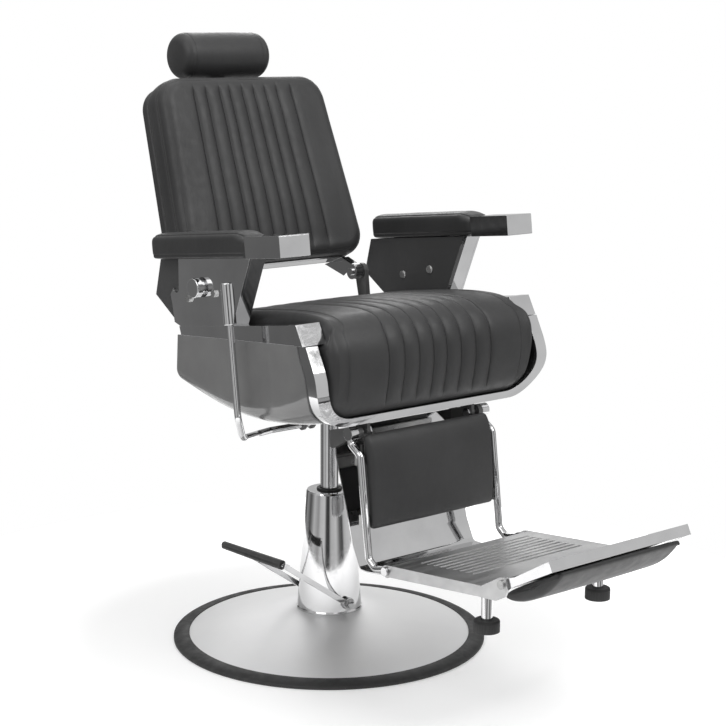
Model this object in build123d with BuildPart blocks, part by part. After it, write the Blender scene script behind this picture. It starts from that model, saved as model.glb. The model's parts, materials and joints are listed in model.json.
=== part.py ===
from build123d import *
import math
import os

# Hydraulic barber chair, millimetres, +Z up, floor at z = 0, lift axis on Z.
# The sitter faces -Y, the sitter's right hand is -X.

os.makedirs("parts", exist_ok=True)

# ------------------------------------------------------------------ driving dimensions
# base and pump
ring_r = 330.0            # rubber ring, outer radius
disc_r = 297.0            # steel disc, outer radius
disc_top = 62.0           # top flat of the dome
disc_t = 5.0              # dome sheet
cover_r0 = 68.0           # cone at its foot
cover_r1 = 48.0           # cone at its top
cover_top = 318.0
cover_t = 3.0
body_r = 37.0             # pump body outside
ram_r = 19.0              # piston rod
ram_clear = 0.06
ram_z0, ram_z1 = 262.0, 528.0
pivot_x, pivot_z = -8.0, 86.0     # pump lever axle, along Y
axle_r = 8.0
run_clear = 0.05          # radial running clearance

# seat body
half_w = 302.0            # outside of rails and panels
rail_w = 54.0
rail_slope = (733.0 - 682.0) / (-272.0 - 105.0)
cushion_half = 246.0

# arms
arm_in, arm_out = 262.0, 300.0
pad_in, pad_out = 255.0, 325.0

# backrest, in its own tilted plane
back_tilt = 20.1          # degrees from vertical
back_y0, back_z0 = 152.0, 787.0   # lower edge of the front face, on the centre line
back_h = 405.0
back_w0, back_w1 = 240.0, 213.0   # half widths at the bottom and the top
hinge_y, hinge_z = 137.0, 748.0   # recline axis

# leg rest
leg_y, leg_z = -277.0, 512.0      # leg rest axis
tube_x, tube_r = 173.0, 7.5
plate_y, plate_z = -396.0, 271.0  # foot plate axis
plate_tilt = 5.5
flap_s, flap_t = 309.5, 21.4      # flap axis, in the foot plate's own plane

sides = (("r", -1), ("l", 1))


def yz(x):
    return Plane.YZ.offset(x)


def keep(builder, label):
    builder.part.label = label
    export_step(builder.part, f"parts/{label}.step")


def rail_top(y):
    return 682.0 + rail_slope * (y - 105.0)


def rail_bottom(y):
    return 665.0 + (697.0 - 665.0) / (-292.0 - 99.0) * (y - 99.0)


# ------------------------------------------------------------------ base
with BuildPart() as base_ring:
    with BuildSketch(Plane.XZ):
        with BuildLine():
            Polyline((270, 0), (ring_r, 0), (ring_r, 4.5))
            ThreePointArc((ring_r, 4.5), (320, 9.5), (306, 12))
            Polyline((306, 12), (disc_r + 0.2, 12), (disc_r + 0.2, 6), (270, 6), (270, 0))
        make_face()
    revolve(axis=Axis.Z)
keep(base_ring, "base_ring")

with BuildPart() as base_disc:
    with BuildSketch(Plane.XZ):
        with BuildLine():
            Polyline((22, disc_top - disc_t), (22, disc_top), (76, disc_top))
            Spline((76, disc_top), (120, 57.5), (190, 43.5), (250, 27), (disc_r, 10.5), tangents=[(1, 0), (1, -0.37)])
            Polyline((disc_r, 10.5), (disc_r, 6), (286, 6))
            Spline((286, 6), (248, 20.5), (188, 37.5), (119, 52), (76, disc_top - disc_t), tangents=[(-1, 0.37), (-1, 0)])
            Polyline((76, disc_top - disc_t), (22, disc_top - disc_t))
        make_face()
    revolve(axis=Axis.Z)
    with BuildSketch(Plane.XY.offset(disc_top)):
        with PolarLocations(50, 4, start_angle=45):
            Circle(4.2)
    extrude(amount=-2 * disc_t, mode=Mode.SUBTRACT)
keep(base_disc, "base_disc")

with BuildPart() as pump_body:
    with BuildSketch(Plane.XY.offset(disc_top)):
        Circle(61)
    extrude(amount=8)
    with BuildSketch(Plane.XY.offset(disc_top + 8)):
        Circle(body_r)
    extrude(amount=cover_top - 5 - disc_top - 8)
    with BuildSketch(Plane.XY.offset(disc_top + 40)):
        Circle(ram_r + ram_clear)
    extrude(amount=400, mode=Mode.SUBTRACT)
    with BuildSketch(Plane.XY.offset(disc_top)):
        with PolarLocations(50, 4, start_angle=45):
            Circle(4.2)
    extrude(amount=8, mode=Mode.SUBTRACT)
    with BuildSketch(Plane.XZ.offset(-100)):
        with Locations((pivot_x, pivot_z)):
            Circle(axle_r + run_clear)
    extrude(amount=200, mode=Mode.SUBTRACT)
keep(pump_body, "pump_body")

with BuildPart() as base_bolts:
    with BuildSketch(Plane.XY.offset(disc_top + 8)):
        with PolarLocations(50, 4, start_angle=45):
            RegularPolygon(7.5, 6)
    extrude(amount=5.5)
    with BuildSketch(Plane.XY.offset(disc_top + 8)):
        with PolarLocations(50, 4, start_angle=45):
            Circle(4)
    extrude(amount=-22)
keep(base_bolts, "base_bolts")

with BuildPart() as pump_cover:
    with BuildSketch(Plane.XZ):
        with BuildLine():
            Polyline(
                (cover_r0 - cover_t, disc_top), (cover_r0 + 1.5, disc_top), (cover_r0 + 1.5, disc_top + 3),
                (cover_r0, disc_top + 6), (cover_r1 + 0.6, cover_top - 4), (cover_r1 - 1.6, cover_top),
                (ram_r + 5, cover_top), (ram_r + 5, cover_top - cover_t), (cover_r1 - cover_t, cover_top - cover_t),
                (cover_r0 - cover_t, disc_top),
            )
        make_face()
    revolve(axis=Axis.Z)
    with BuildSketch(Plane.XZ.offset(-100)):
        with Locations((pivot_x, pivot_z)):
            Circle(axle_r + 1.2)
    extrude(amount=200, mode=Mode.SUBTRACT)
keep(pump_cover, "pump_cover")

with BuildPart() as pump_seal:
    with BuildSketch(Plane.XZ):
        with BuildLine():
            Polyline(
                (ram_r + ram_clear, cover_top - 5), (ram_r + 5, cover_top - 5), (ram_r + 5, cover_top),
                (ram_r + 8, cover_top), (ram_r + 7, cover_top + 3.5), (ram_r + 1.5, cover_top + 4),
                (ram_r + ram_clear, cover_top + 3), (ram_r + ram_clear, cover_top - 5),
            )
        make_face()
    revolve(axis=Axis.Z)
keep(pump_seal, "pump_seal")

# ------------------------------------------------------------------ pump lever
near_y, far_y = -73.5, 76.0
with BuildPart() as pump_axle:
    with BuildSketch(Plane.XZ.offset(-(far_y + 5))):
        with Locations((pivot_x, pivot_z)):
            Circle(axle_r)
    extrude(amount=far_y - near_y + 10)
keep(pump_axle, "pump_axle")

with BuildPart() as pump_fork:
    for y0 in (near_y - 3, far_y - 3):
        with BuildSketch(Plane.XZ.offset(-(y0 + 6))):
            with BuildLine():
                Polyline((pivot_x - 6.5, pivot_z + 9), (-176, 207), (-180, 197), (pivot_x + 2, pivot_z - 10), (pivot_x - 6.5, pivot_z + 9))
            make_face()
            with Locations((pivot_x, pivot_z)):
                Circle(13)
        extrude(amount=6)
    with BuildSketch(Plane.XZ.offset(-(far_y + 10))):
        with Locations((pivot_x, pivot_z)):
            Circle(axle_r)
    extrude(amount=far_y - near_y + 30, mode=Mode.SUBTRACT)
    with BuildLine() as bar_line:
        Line((-170, near_y - 3, 198.5), (-181, 126, 199.5))
    with BuildSketch(Plane(origin=bar_line.line @ 0, z_dir=bar_line.line % 0)):
        Circle(5)
    sweep(path=bar_line.line)
keep(pump_fork, "pump_fork")

with BuildPart() as pump_grip:
    with BuildLine() as grip_line:
        Line((-170.9, near_y + 14, 198.55), (-181.1, 128, 199.5))
    with BuildSketch(Plane(origin=grip_line.line @ 0, x_dir=(0, 0, 1), z_dir=grip_line.line % 0)):
        RectangleRounded(19, 15.5, 6.5)
    with BuildSketch(Plane(origin=grip_line.line @ 1, x_dir=(0, 0, 1), z_dir=grip_line.line % 1)):
        RectangleRounded(15.5, 14, 6)
    loft()
    with BuildSketch(Plane(origin=bar_line.line @ 0, z_dir=bar_line.line % 0)):
        Circle(5)
    sweep(path=bar_line.line, mode=Mode.SUBTRACT)
    with BuildSketch(Plane.XZ.offset(-(far_y + 3))):
        with BuildLine():
            Polyline((pivot_x - 6.5, pivot_z + 9), (-176, 207), (-180, 197), (pivot_x + 2, pivot_z - 10), (pivot_x - 6.5, pivot_z + 9))
        make_face()
    extrude(amount=6, mode=Mode.SUBTRACT)
keep(pump_grip, "pump_grip")

with BuildPart() as pump_caps:
    for y0, d in ((near_y - 5, 1), (far_y + 5, -1)):
        with BuildSketch(Plane(origin=(pivot_x, y0, pivot_z), x_dir=(1, 0, 0), z_dir=(0, -d, 0))):
            RegularPolygon(8.5, 6)
        extrude(amount=5.5)
keep(pump_caps, "pump_caps")

# ------------------------------------------------------------------ ram
with BuildPart() as piston_rod:
    with BuildSketch(Plane.XY.offset(ram_z0)):
        Circle(ram_r)
    extrude(amount=ram_z1 - ram_z0)
    chamfer(piston_rod.edges().filter_by(GeomType.CIRCLE), 1.5)
keep(piston_rod, "piston_rod")

# ------------------------------------------------------------------ seat structure
with BuildPart() as seat_hub:
    with BuildSketch(Plane.XY.offset(492)):
        Circle(40)
    extrude(amount=38)
    with BuildSketch(Plane.XY.offset(530)):
        RectangleRounded(236, 190, 14)
    extrude(amount=8)
    with BuildSketch(Plane.XY.offset(492)):
        Circle(ram_r + run_clear)
    extrude(amount=38, mode=Mode.SUBTRACT)
    with BuildSketch(Plane.YZ):
        with BuildLine():
            Polyline((40, 494), (84, 530), (40, 530), (40, 494))
        make_face()
    extrude(amount=4, both=True)
    with BuildSketch(Plane.YZ):
        with BuildLine():
            Polyline((-40, 494), (-84, 530), (-40, 530), (-40, 494))
        make_face()
    extrude(amount=4, both=True)
keep(seat_hub, "seat_hub")

with BuildPart() as seat_frame:
    for x0 in (-118, 88):
        with BuildSketch(Plane.XZ.offset(-105)):
            with Locations((x0 + 15, 555)):
                RectangleRounded(30, 34, 4)
        extrude(amount=372)
    for y0 in (60.0, -210.0):
        with BuildSketch(yz(-290)):
            with Locations((y0 + 15, 584.5)):
                RectangleRounded(30, 25, 4)
        extrude(amount=580)
        for x0 in (-290, 282):
            with BuildSketch(yz(x0)):
                with BuildLine():
                    Polyline(
                        (y0 - 2, 590), (y0 + 32, 590), (y0 + 32, rail_bottom(y0 + 32)), (y0 - 2, rail_bottom(y0 - 2)),
                        (y0 - 2, 590),
                    )
                make_face()
            extrude(amount=8)
keep(seat_frame, "seat_frame")

with BuildPart() as seat_board:
    with BuildSketch(Plane.XY.offset(597)):
        with Locations((0, -76)):
            RectangleRounded(2 * cushion_half - 12, 360, 20)
    extrude(amount=12)
keep(seat_board, "seat_board")

# the cushion rolls over the front edge of its board down to the trim
with BuildPart() as seat_cushion:
    with BuildSketch(yz(-cushion_half)):
        with BuildLine():
            Polyline((106, 609), (106, 690))
            Spline((106, 690), (84, 706), (0, 722), (-120, 738), (-240, 747), (-298, 738), (-331, 700), (-338, 650),
                   (-330, 604), (-316, 572), (-300, 561), (-280, 562), (-262, 575))
            Polyline((-262, 575), (-257, 609), (106, 609))
        make_face()
    extrude(amount=2 * cushion_half)
    with BuildSketch(Plane.XZ.offset(-200)):
        with BuildLine():
            Polyline((-cushion_half, 800), (-cushion_half, 625))
            RadiusArc((-cushion_half, 625), (-cushion_half + 68, 557), -68)
            Polyline((-cushion_half + 68, 557), (cushion_half - 68, 557))
            RadiusArc((cushion_half - 68, 557), (cushion_half, 625), -68)
            Polyline((cushion_half, 625), (cushion_half, 800), (-cushion_half, 800))
        make_face()
    extrude(amount=600, mode=Mode.INTERSECT)
keep(seat_cushion, "seat_cushion")


panel_t = 3.0
tub_sections = ((-330, half_w, 552, 88), (-250, half_w, 535, 62), (-150, half_w, 527, 40), (-30, half_w, 535, 32), (130, half_w, 569, 30))
with BuildPart() as tub_outer:
    for y, h, b, r in tub_sections:
        h, b, r = h - 0, b + 0, r - 0
        with BuildSketch(Plane.XZ.offset(-y)):
            with BuildLine():
                Line((-h, 760), (-h, b + r))
                CenterArc((-h + r, b + r), r, 180, 90)
                Line((-h + r, b), (h - r, b))
                CenterArc((h - r, b + r), r, 270, 90)
                Line((h, b + r), (h, 760))
                Line((h, 760), (-h, 760))
            make_face()
    loft()
with BuildPart() as tub_inner:
    for y, h, b, r in tub_sections:
        h, b, r = h - panel_t, b + panel_t, r - panel_t
        with BuildSketch(Plane.XZ.offset(-y)):
            with BuildLine():
                Line((-h, 760), (-h, b + r))
                CenterArc((-h + r, b + r), r, 180, 90)
                Line((-h + r, b), (h - r, b))
                CenterArc((h - r, b + r), r, 270, 90)
                Line((h, b + r), (h, 760))
                Line((h, 760), (-h, 760))
            make_face()
    loft()
with BuildPart() as tub_side:
    with BuildSketch(yz(-400)):
        with BuildLine():
            Polyline(
                (-276.5, 690), (-276.5, rail_bottom(-276) - 1.3), (-269.9, rail_bottom(-270) - 1.2), (-269.9, rail_bottom(-269.9)),
                (111, rail_bottom(111)), (116, 588), (112, 500), (-285.5, 500), (-285.5, 536),
            )
            Spline((-285.5, 536), (-290.5, 562), (-300.5, 594), (-300.5, 627), (-285.5, 664), (-276.5, 690))
        make_face()
    extrude(amount=800)

with BuildPart() as side_panels:
    add(tub_outer.part)
    add(tub_inner.part, mode=Mode.SUBTRACT)
    add(tub_side.part, mode=Mode.INTERSECT)
    with BuildSketch(Plane.XY.offset(400)):
        Rectangle(300, 1000)
    extrude(amount=400, mode=Mode.SUBTRACT)
keep(side_panels, "side_panels")

with BuildPart() as rear_panel:
    with BuildSketch(Plane.XZ.offset(-111)):
        with BuildLine():
            Polyline((-half_w + 3.2, 663.5), (-half_w + 3.2, 604))
            RadiusArc((-half_w + 3.2, 604), (-half_w + 35, 571), -31)
            Polyline((-half_w + 35, 571), (half_w - 35, 571))
            RadiusArc((half_w - 35, 571), (half_w - 3.2, 604), -31)
            Polyline((half_w - 3.2, 604), (half_w - 3.2, 663.5), (-half_w + 3.2, 663.5))
        make_face()
    extrude(amount=3)
keep(rear_panel, "rear_panel")

# bright U trim round the front of the seat shell
with BuildPart() as front_trim:
    with BuildSketch(yz(-300)):
        with BuildLine():
            Spline((-300, 695.8), (-316, 664), (-330, 627), (-329, 594), (-318, 562), (-313, 536))
            Polyline((-313, 536), (-286, 536))
            Spline((-286, 536), (-291, 562), (-301, 594), (-301, 627), (-286, 664), (-277, 690))
            Polyline((-277, 690), (-277, 694.6), (-300, 695.8))
        make_face()
    extrude(amount=600)
    with BuildSketch(Plane.XZ.offset(200)):
        with BuildLine():
            Polyline((-300, 720), (-300, 627))
            RadiusArc((-300, 627), (-210, 537), -90)
            Polyline((-210, 537), (210, 537))
            RadiusArc((210, 537), (300, 627), -90)
            Polyline((300, 627), (300, 720), (272, 720), (272, 624))
            RadiusArc((272, 624), (200, 552), 72)
            Polyline((200, 552), (-200, 552))
            RadiusArc((-200, 552), (-272, 624), 72)
            Polyline((-272, 624), (-272, 720), (-300, 720))
        make_face()
    extrude(amount=200, mode=Mode.INTERSECT)
keep(front_trim, "front_trim")

with BuildPart() as side_rails:
    for x0 in (-half_w, half_w - rail_w):
        with BuildSketch(yz(x0)):
            with BuildLine():
                Polyline((105, rail_top(105)), (99, rail_bottom(99)), (-270, rail_bottom(-270)), (-252, rail_top(-252)), (105, rail_top(105)))
            make_face()
        extrude(amount=rail_w)
keep(side_rails, "side_rails")

with BuildPart() as rail_caps:
    for x0 in (-half_w - 1, half_w - rail_w - 1):
        with BuildSketch(yz(x0)):
            with BuildLine():
                Polyline((-251.6, rail_top(-252) + 1), (-270.6, rail_bottom(-270) - 1), (-294, rail_bottom(-294) - 1), (-273, rail_top(-273) + 1), (-251.6, rail_top(-252) + 1))
            make_face()
        extrude(amount=rail_w + 2)
keep(rail_caps, "rail_caps")

# ------------------------------------------------------------------ arms
arm_slope = (845.5 - 812.0) / (-151.0 - 150.0)


def arm_under(y):
    return 845.5 + arm_slope * (y + 151.0)


screw_spots = ((-16, 762), (70, 742))

with BuildPart() as arm_panels:
    for x0 in (arm_in, -arm_out + 5):
        with BuildSketch(yz(x0)):
            with BuildLine():
                Polyline(
                    (-119, arm_under(-119)), (-64, rail_top(-64)), (104, rail_top(104)), (122, 688), (197, 735),
                    (178, arm_under(178)), (-119, arm_under(-119)),
                )
            make_face()
            for y, z in screw_spots:
                with Locations((y, z)):
                    Circle(4.05, mode=Mode.SUBTRACT)
        extrude(amount=arm_out - arm_in - 5)
keep(arm_panels, "arm_panels")

# polished outer plates, with the curved notch at the lower rear corner
with BuildPart() as arm_plates:
    for x0 in (arm_out - 5, -arm_out):
        with BuildSketch(yz(x0)):
            with BuildLine():
                Polyline(
                    (-131, arm_under(-131)), (-74, rail_top(-74)), (104, rail_top(104)), (124, 688), (131, 722), (137, 742),
                    (128, 756), (108, 762), (108, arm_under(108)), (-131, arm_under(-131)),
                )
            make_face()
            with Locations((117, 757)):
                Circle(9, mode=Mode.SUBTRACT)
            for y, z in screw_spots:
                with Locations((y, z)):
                    Circle(4.05, mode=Mode.SUBTRACT)
        extrude(amount=5)
keep(arm_plates, "arm_plates")

# bright strips down the front edges of the arm supports
with BuildPart() as arm_edges:
    for x0 in (arm_in, -arm_out + 5):
        with BuildSketch(yz(x0)):
            with BuildLine():
                Polyline((-119, arm_under(-119)), (-64, rail_top(-64)), (-74, rail_top(-74)), (-131, arm_under(-131)), (-119, arm_under(-119)))
            make_face()
        extrude(amount=arm_out - arm_in - 5)
keep(arm_edges, "arm_edges")

for side, sx in sides:
    px = pad_in if sx > 0 else -pad_out
    with BuildPart() as arm_pad:
        with BuildSketch(yz(px)):
            with BuildLine():
                Polyline((-151, arm_under(-151)), (150, arm_under(150)))
                Spline((150, arm_under(150)), (170, arm_under(150) + 16), (172, arm_under(150) + 34), (158, arm_under(150) + 50), tangents=[(1, 0.1), (-1, 0.2)])
                Polyline((158, arm_under(150) + 50), (-118, arm_under(-118) + 50), (-144, arm_under(-144) + 44), (-151, arm_under(-151)))
            make_face()
        extrude(amount=pad_out - pad_in)
    keep(arm_pad, f"arm_pad_{side}")

with BuildPart() as arm_fronts:
    for x0 in (pad_in, -pad_out):
        with BuildSketch(yz(x0)):
            with BuildLine():
                Polyline((-258, 857), (-151.3, arm_under(-151)), (-145, arm_under(-151) + 41), (-253, 898), (-258, 857))
            make_face()
        extrude(amount=pad_out - pad_in)
    fillet(arm_fronts.edges().filter_by(Axis.X).group_by(Axis.Y)[0] + arm_fronts.edges().filter_by(Axis.X).group_by(Axis.Y)[1], 2)
keep(arm_fronts, "arm_fronts")

with BuildPart() as arm_screws:
    for sx in (-1, 1):
        for y, z in ((-16, 762), (70, 742)):
            with BuildSketch(Plane(origin=(sx * arm_in, y, z), x_dir=(0, 1, 0), z_dir=(-sx, 0, 0))):
                Circle(9)
            extrude(amount=3, taper=25)
            with BuildSketch(Plane(origin=(sx * arm_in, y, z), x_dir=(0, 1, 0), z_dir=(sx, 0, 0))):
                Circle(4)
            extrude(amount=arm_out - arm_in)
            with BuildSketch(Plane(origin=(sx * arm_out, y, z), x_dir=(0, 1, 0), z_dir=(sx, 0, 0))):
                RegularPolygon(7.5, 6)
            extrude(amount=5)
keep(arm_screws, "arm_screws")

# clamp knob that ties the near arm plate to the hinge side
with BuildPart() as arm_knobs:
    for sx in (-1, 1):
        with BuildSketch(Plane(origin=(sx * arm_out, 34, 768), x_dir=(0, 1, 0), z_dir=(sx, 0, 0))):
            Circle(15)
        extrude(amount=6)
        with BuildSketch(Plane(origin=(sx * (arm_out + 6), 34, 768), x_dir=(0, 1, 0), z_dir=(sx, 0, 0))):
            Circle(20)
        extrude(amount=13)
        fillet(arm_knobs.edges().filter_by(GeomType.CIRCLE).group_by(Axis.X)[0 if sx < 0 else -1], 3)
keep(arm_knobs, "arm_knobs")

# ------------------------------------------------------------------ recline hinge, seat side
with BuildPart() as hinge_lugs:
    for x0 in (-206.0, 196.0):
        with BuildSketch(yz(x0)):
            with BuildLine():
                Polyline((114, 600), (120, 600), (154, 744), (120, 752), (114, 700), (114, 600))
            make_face()
            with Locations((hinge_y, hinge_z)):
                Circle(17)
            with Locations((hinge_y, hinge_z)):
                Circle(8, mode=Mode.SUBTRACT)
        extrude(amount=10)
        with BuildSketch(Plane.XZ.offset(-120)):
            with Locations((x0 + 5, 628)):
                RectangleRounded(56, 60, 8)
        extrude(amount=6)
keep(hinge_lugs, "hinge_lugs")

with BuildPart() as hinge_pins:
    for sx in (-1, 1):
        with BuildSketch(yz(sx * 168)):
            with Locations((hinge_y, hinge_z)):
                Circle(8)
        extrude(amount=sx * 44)
        with BuildSketch(yz(sx * 206)):
            with Locations((hinge_y, hinge_z)):
                Circle(8)
                RegularPolygon(13, 6)
        extrude(amount=sx * 8)
keep(hinge_pins, "hinge_pins")

with BuildPart() as lug_bolts:
    for x0 in (-201.0, 201.0):
        for dx in (-19, 19):
            with BuildSketch(Plane.XZ.offset(-120)):
                with Locations((x0 + dx, 628)):
                    RegularPolygon(6.5, 6)
            extrude(amount=-5)
keep(lug_bolts, "lug_bolts")

# ------------------------------------------------------------------ leg rest lugs and lever bracket, seat side
with BuildPart() as leg_lugs:
    for sx in (-1, 1):
        x0 = 133 if sx > 0 else -141
        with BuildSketch(yz(x0)):
            with BuildLine():
                Polyline((-287, 506), (-267, 506), (-236, 538), (-266, 538), (-287, 530), (-287, 506))
            make_face()
            with Locations((leg_y, leg_z)):
                Circle(12)
            with Locations((leg_y, leg_z)):
                Circle(6, mode=Mode.SUBTRACT)
        extrude(amount=8)
    with BuildSketch(Plane.XY.offset(530)):
        with Locations((0, -251)):
            Rectangle(266, 30)
    extrude(amount=8)
keep(leg_lugs, "leg_lugs")

with BuildPart() as leg_pins:
    for sx in (-1, 1):
        with BuildSketch(yz(sx * 127)):
            with Locations((leg_y, leg_z)):
                Circle(6)
        extrude(amount=sx * 36)
        with BuildSketch(yz(sx * 127)):
            with Locations((leg_y, leg_z)):
                RegularPolygon(10, 6)
        extrude(amount=sx * 6)
keep(leg_pins, "leg_pins")

lever_y, lever_z = -55.0, 482.0
with BuildPart() as lever_bracket:
    for x0 in (-118.0, -96.0):
        with BuildSketch(yz(x0)):
            with BuildLine():
                Polyline((-67, 478), (-43, 478), (-30, 530), (-80, 530), (-67, 478))
            make_face()
            with Locations((lever_y, lever_z)):
                Circle(11)
            with Locations((lever_y, lever_z)):
                Circle(6.5 + run_clear, mode=Mode.SUBTRACT)
        extrude(amount=6)
keep(lever_bracket, "lever_bracket")

# release valve block that the lever's cam presses
with BuildPart() as release_block:
    with BuildSketch(Plane.XY.offset(505)):
        with Locations((-104, -126)):
            RectangleRounded(28, 56, 6)
    extrude(amount=33)
    with BuildSketch(Plane.XY.offset(505)):
        with Locations((-104, -112), (-104, -138)):
            Circle(7)
    extrude(amount=-9)
keep(release_block, "release_block")

# ------------------------------------------------------------------ recline lever
with BuildPart() as lever_rod:
    with BuildLine() as lever_line:
        FilletPolyline(
            (-342, -117, 770), (-342, -146, 545), (-318, -128, 497), (-236, -64, lever_z), (-196, lever_y, lever_z), (-84, lever_y, lever_z),
            radius=[34, 30, 40, 20],
        )
    with BuildSketch(Plane(origin=lever_line.line @ 0, z_dir=lever_line.line % 0)):
        Circle(6.5)
    sweep(path=lever_line.line)
keep(lever_rod, "lever_rod")

sleeve_dir = Vector(0, -29, -225).normalized()
with BuildPart() as lever_sleeve:
    with BuildSketch(Plane(origin=(-342, -113.39, 798), x_dir=(1, 0, 0), z_dir=sleeve_dir)):
        Circle(12.5)
    extrude(amount=80)
    fillet(lever_sleeve.edges().filter_by(GeomType.CIRCLE), 3)
    with BuildSketch(Plane(origin=(-342, -117, 770), x_dir=(1, 0, 0), z_dir=sleeve_dir)):
        Circle(6.5)
    extrude(amount=90, mode=Mode.SUBTRACT)
keep(lever_sleeve, "lever_sleeve")

# ------------------------------------------------------------------ backrest
ct, st = math.cos(math.radians(back_tilt)), math.sin(math.radians(back_tilt))
back = Plane(origin=(0, back_y0, back_z0), x_dir=(1, 0, 0), z_dir=(0, -ct, st))


def back_corners(grow=0.0):
    return [(-back_w0 - grow, -grow), (back_w0 + grow, -grow), (back_w1 + grow, back_h + grow), (-back_w1 - grow, back_h + grow)]


with BuildPart() as back_cushion:
    with BuildSketch(back.offset(-66)):
        with BuildLine():
            FilletPolyline(*back_corners(0.0), radius=56, close=True)
        make_face()
    extrude(amount=66)
    fillet(back_cushion.faces().sort_by(Axis.Y)[0].edges(), 12)
keep(back_cushion, "back_cushion")

with BuildPart() as back_frame:
    with BuildSketch(back.offset(-71)):
        with BuildLine():
            FilletPolyline(*back_corners(-14), radius=44, close=True)
        make_face()
        with Locations((0, back_h / 2)):
            RectangleRounded(300, 280, 30, mode=Mode.SUBTRACT)
    extrude(amount=5)
keep(back_frame, "back_frame")

with BuildPart() as back_shell:
    with BuildSketch(back.offset(-90)):
        with BuildLine():
            FilletPolyline(*back_corners(1.0), radius=57, close=True)
        make_face()
    extrude(amount=24)
    with BuildSketch(back.offset(-71)):
        with BuildLine():
            FilletPolyline(*back_corners(-14), radius=44, close=True)
        make_face()
    extrude(amount=5, mode=Mode.SUBTRACT)
    fillet(back_shell.faces().sort_by(Axis.Y)[-1].edges(), 8)
keep(back_shell, "back_shell")

with BuildPart() as back_strip:
    with BuildSketch(back.offset(-62)):
        with BuildLine():
            Polyline((-182, -1), (182, -1), (182, -4), (-182, -4), (-182, -1))
        make_face()
    extrude(amount=40)
keep(back_strip, "back_strip")

with BuildPart() as back_hinges:
    for x0 in (-192.0, 172.0):
        with BuildSketch(yz(x0)):
            with BuildLine():
                Polyline(
                    (back_y0 + 22 * ct - 4 * st, back_z0 - 22 * st - 4 * ct), (back_y0 + 84 * ct - 4 * st, back_z0 - 84 * st - 4 * ct),
                    (hinge_y + 26, hinge_z - 12), (hinge_y - 6, hinge_z + 14),
                    (back_y0 + 22 * ct - 4 * st, back_z0 - 22 * st - 4 * ct),
                )
            make_face()
            with Locations((hinge_y, hinge_z)):
                Circle(17)
            with Locations((hinge_y, hinge_z)):
                Circle(8 + run_clear, mode=Mode.SUBTRACT)
        extrude(amount=20)
keep(back_hinges, "back_hinges")

# channel for the headrest bar, on the back of the shell
with BuildPart() as head_channel:
    with BuildSketch(back.offset(-104)):
        with Locations((0, 330)):
            RectangleRounded(64, 120, 8)
    extrude(amount=14)
    with BuildSketch(back.offset(-98)):
        with Locations((0, 330)):
            Rectangle(40.2, 200)
    extrude(amount=8, mode=Mode.SUBTRACT)
keep(head_channel, "head_channel")

# ------------------------------------------------------------------ headrest
head_s, head_n, head_r, head_half = 474.6, -73.1, 49.5, 114.0
with BuildPart() as head_bar:
    with BuildSketch(back.offset(-97.0)):
        with Locations((0, 312.5)):
            Rectangle(40, 295)
    extrude(amount=6)
    with BuildSketch(back.offset(-97.0)):
        with Locations((0, 171)):
            RectangleRounded(50, 12, 3)
    extrude(amount=6)
keep(head_bar, "head_bar")

with BuildPart() as head_roll:
    with BuildSketch(Plane(origin=back.from_local_coords(Vector(-head_half, head_s, head_n)), x_dir=(0, 1, 0), z_dir=(1, 0, 0))):
        Circle(head_r)
    extrude(amount=2 * head_half)
    fillet(head_roll.edges().filter_by(GeomType.CIRCLE), 26)
    with BuildSketch(back.offset(-97.0)):
        with Locations((0, 312.5)):
            Rectangle(40, 295)
    extrude(amount=6, mode=Mode.SUBTRACT)
keep(head_roll, "head_roll")

# ------------------------------------------------------------------ leg rest
tube_pts = {
    -1: [(-tube_x, -277, 518), (-tube_x, -277, 492), (-tube_x, -306, 474), (-tube_x, -332, 277), (-tube_x, -352, 262), (-tube_x, -390, 271)],
    1: [(tube_x, -277, 518), (tube_x, -277, 492), (tube_x, -306, 474), (tube_x, -332, 277), (tube_x, -352, 262), (tube_x, -390, 271)],
}
with BuildPart() as calf_tubes:
    for sx in (-1, 1):
        with BuildLine() as tube_line:
            FilletPolyline(*tube_pts[sx], radius=[16, 16, 14, 14])
        with BuildSketch(Plane(origin=tube_line.line @ 0, z_dir=tube_line.line % 0)):
            Circle(tube_r)
        sweep(path=tube_line.line)
    for sx in (-1, 1):
        with BuildSketch(yz(sx * 163)):
            with Locations((plate_y, plate_z)):
                Circle(11)
        extrude(amount=sx * 17)
        with BuildSketch(yz(sx * 150)):
            with Locations((plate_y, plate_z)):
                Circle(5)
        extrude(amount=sx * 60, mode=Mode.SUBTRACT)
        with BuildSketch(yz(sx * 163)):
            with Locations((leg_y, leg_z)):
                Circle(13)
        extrude(amount=sx * 18)
keep(calf_tubes, "calf_tubes")

with BuildPart() as plate_pins:
    for sx in (-1, 1):
        with BuildSketch(yz(sx * 157)):
            with Locations((plate_y, plate_z)):
                Circle(5)
        extrude(amount=sx * 29)
        with BuildSketch(yz(sx * 157)):
            with Locations((plate_y, plate_z)):
                RegularPolygon(8, 6)
        extrude(amount=sx * 6)
        with BuildSketch(yz(sx * 186)):
            with Locations((plate_y, plate_z)):
                Circle(8.5)
        extrude(amount=sx * 5)
keep(plate_pins, "plate_pins")

# bright J-shaped kick plate behind the calf pad
kick = [(-204, 504), (-205, 454), (-216, 420), (-239, 351), (-257, 284), (-267, 256), (-279, 239), (-303, 239), (-372, 248)]
with BuildPart() as kick_plate:
    with BuildSketch(yz(-152)):
        with BuildLine() as kick_line:
            FilletPolyline(kick[0], kick[1], kick[3], kick[4], kick[6], kick[7], kick[8], radius=[40, 60, 30, 14, 14])
            offset(amount=2.5, side=Side.RIGHT)
        make_face()
    extrude(amount=304)
keep(kick_plate, "kick_plate")

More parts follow.
